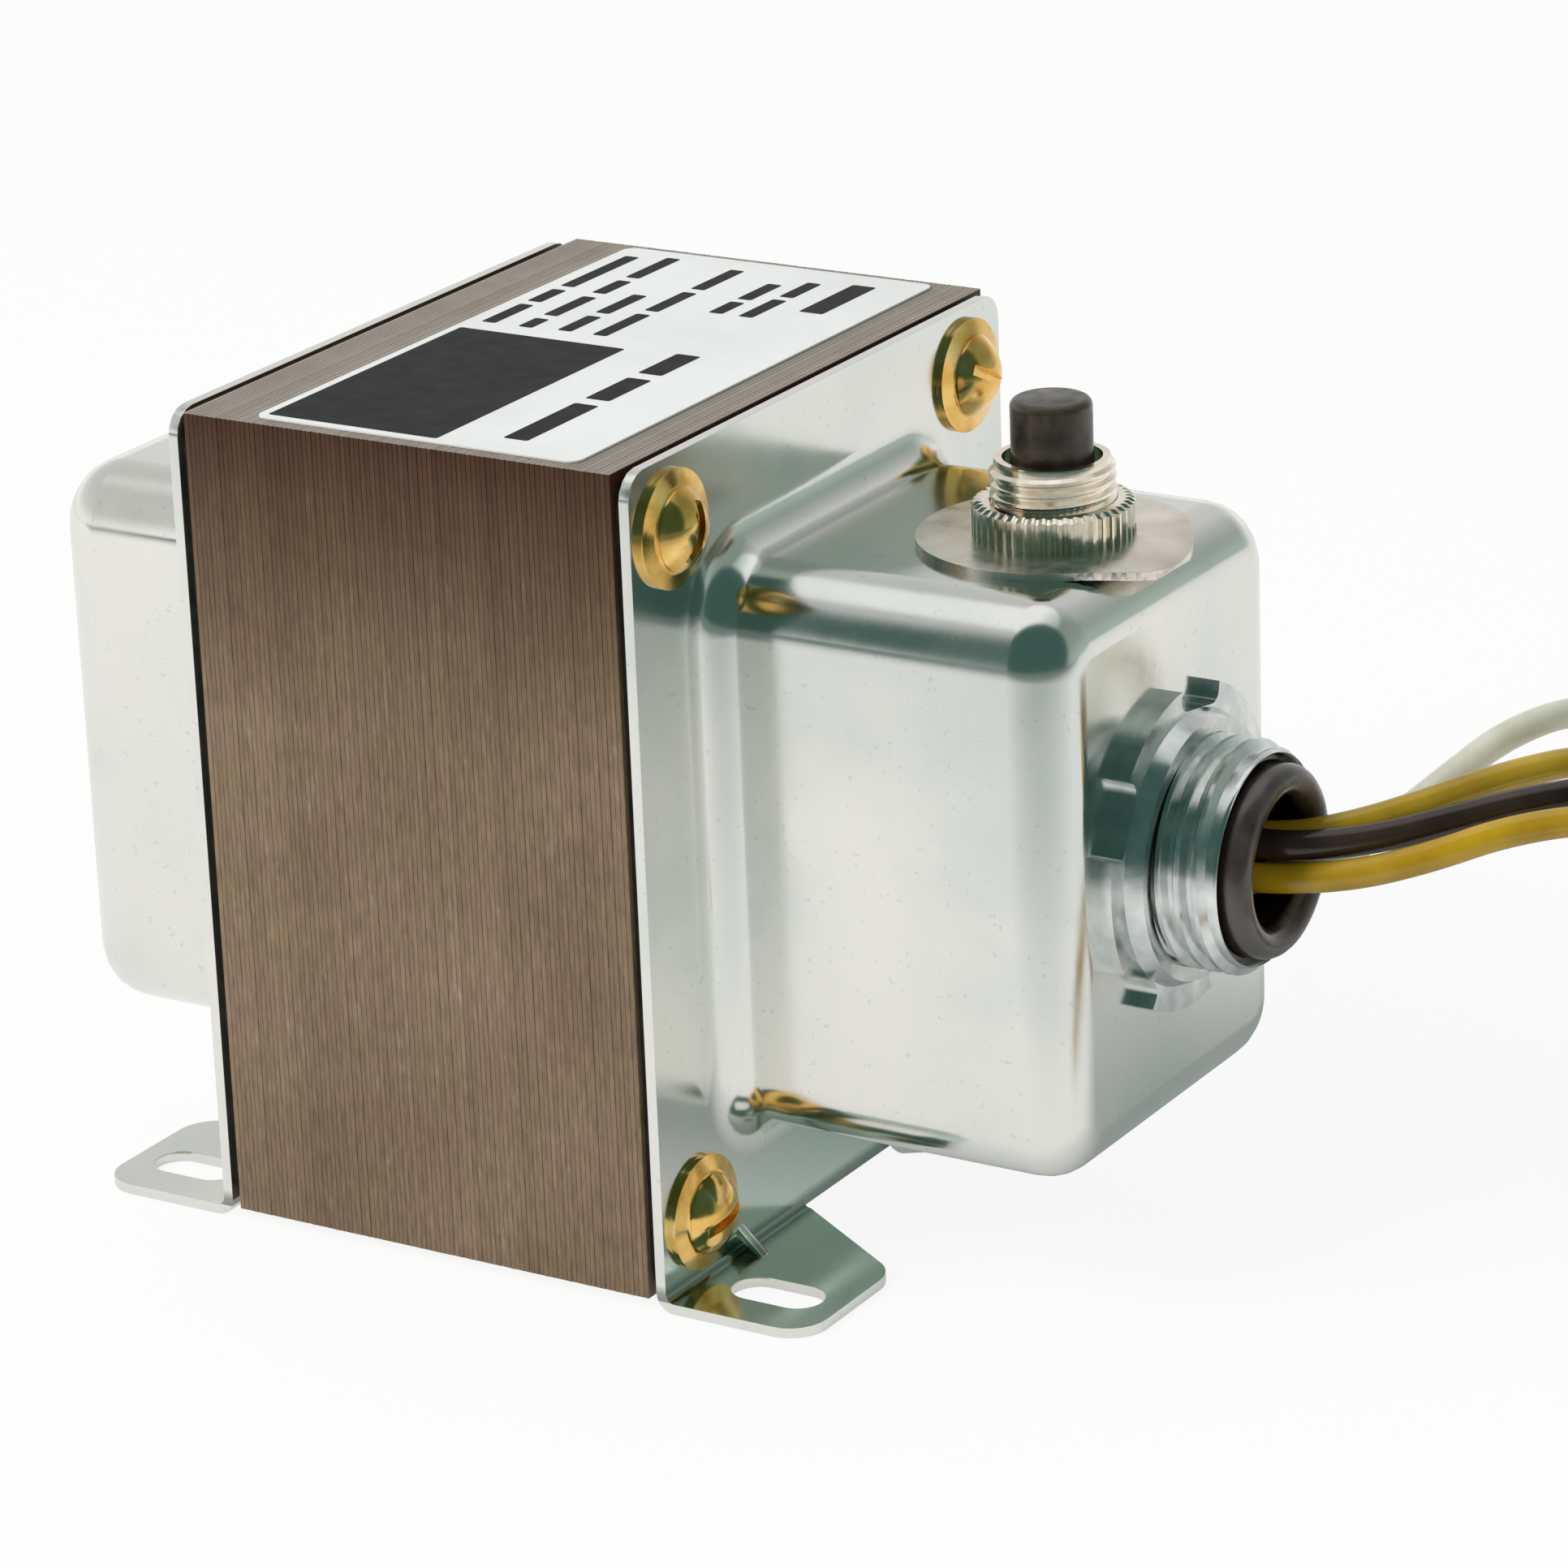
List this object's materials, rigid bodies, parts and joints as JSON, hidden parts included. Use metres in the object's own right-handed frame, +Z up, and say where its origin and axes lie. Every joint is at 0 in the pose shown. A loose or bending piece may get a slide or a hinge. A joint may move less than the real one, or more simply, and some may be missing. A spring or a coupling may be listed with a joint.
{
  "type": "control transformer",
  "caption": "Foot- and hub-mounted control transformer: laminated core between drawn steel end bells, threaded conduit hub with leads, push-to-reset breaker.",
  "frame": {"origin": "centre of the four foot slots, on the underside of the feet", "axes": "+X along the core stack towards the conduit hub, +Z up from the feet, +Y completes the right-handed set"},
  "size_m": [0.1908, 0.0938, 0.0784],
  "materials": {
    "varnished_steel": "dipped in brown varnish, satin",
    "fish_paper": "matte paper",
    "zinc_plated_sheet": "clear zinc plate, satin",
    "yellow_zinc_steel": "yellow chromate zinc plate",
    "label_paper": "white coated paper",
    "nylon": "moulded",
    "enamelled_copper": "enamelled wire",
    "coil_tape": "polyester tape",
    "zinc_plated_hub": "zinc plate, satin",
    "brown_phenolic": "moulded, semi-matte",
    "black_phenolic": "moulded",
    "nickel_plate": "nickel plate",
    "black_button": "moulded, worn gloss",
    "terminal_brass": "stamped",
    "tinned_copper": "tinned strands",
    "aluminium_sheet": "punched sheet, satin",
    "glass_sleeving": "varnished glass braid",
    "yellow_insulation": "extruded, satin",
    "black_insulation": "extruded, satin",
    "white_insulation": "extruded, satin"
  },
  "bodies": {
    "transformer": {"e_laminations": "varnished_steel", "i_laminations": "varnished_steel", "left_gasket": "fish_paper", "right_gasket": "fish_paper", "left_bell": "zinc_plated_sheet", "right_bell": "zinc_plated_sheet", "through_bolts": "yellow_zinc_steel", "bolt_nuts": "yellow_zinc_steel", "rating_label": "label_paper", "coil_former": "nylon", "primary_winding": "enamelled_copper", "secondary_winding": "enamelled_copper", "primary_wrap": "coil_tape", "secondary_wrap": "coil_tape", "hub_nipple": "zinc_plated_hub", "hub_locknut": "zinc_plated_hub", "hub_bushing": "brown_phenolic", "breaker_case": "black_phenolic", "breaker_neck": "nickel_plate", "breaker_terminals": "terminal_brass", "breaker_jumpers": "tinned_copper", "breaker_back_nut": "nickel_plate", "legend_washer": "aluminium_sheet", "breaker_face_nut": "nickel_plate", "splice_sleeves": "glass_sleeving", "stripped_ends": "tinned_copper", "front_yellow_lead": "yellow_insulation", "black_lead": "black_insulation", "rear_yellow_lead": "yellow_insulation", "white_lead": "white_insulation"},
    "button": {"breaker_button": "black_button"}
  },
  "joints": [
    {"name": "breaker_button", "type": "slide", "parent": "transformer", "child": "button", "axis": [0, 0, 1], "range_m": [0, 0.003]}
  ]
}
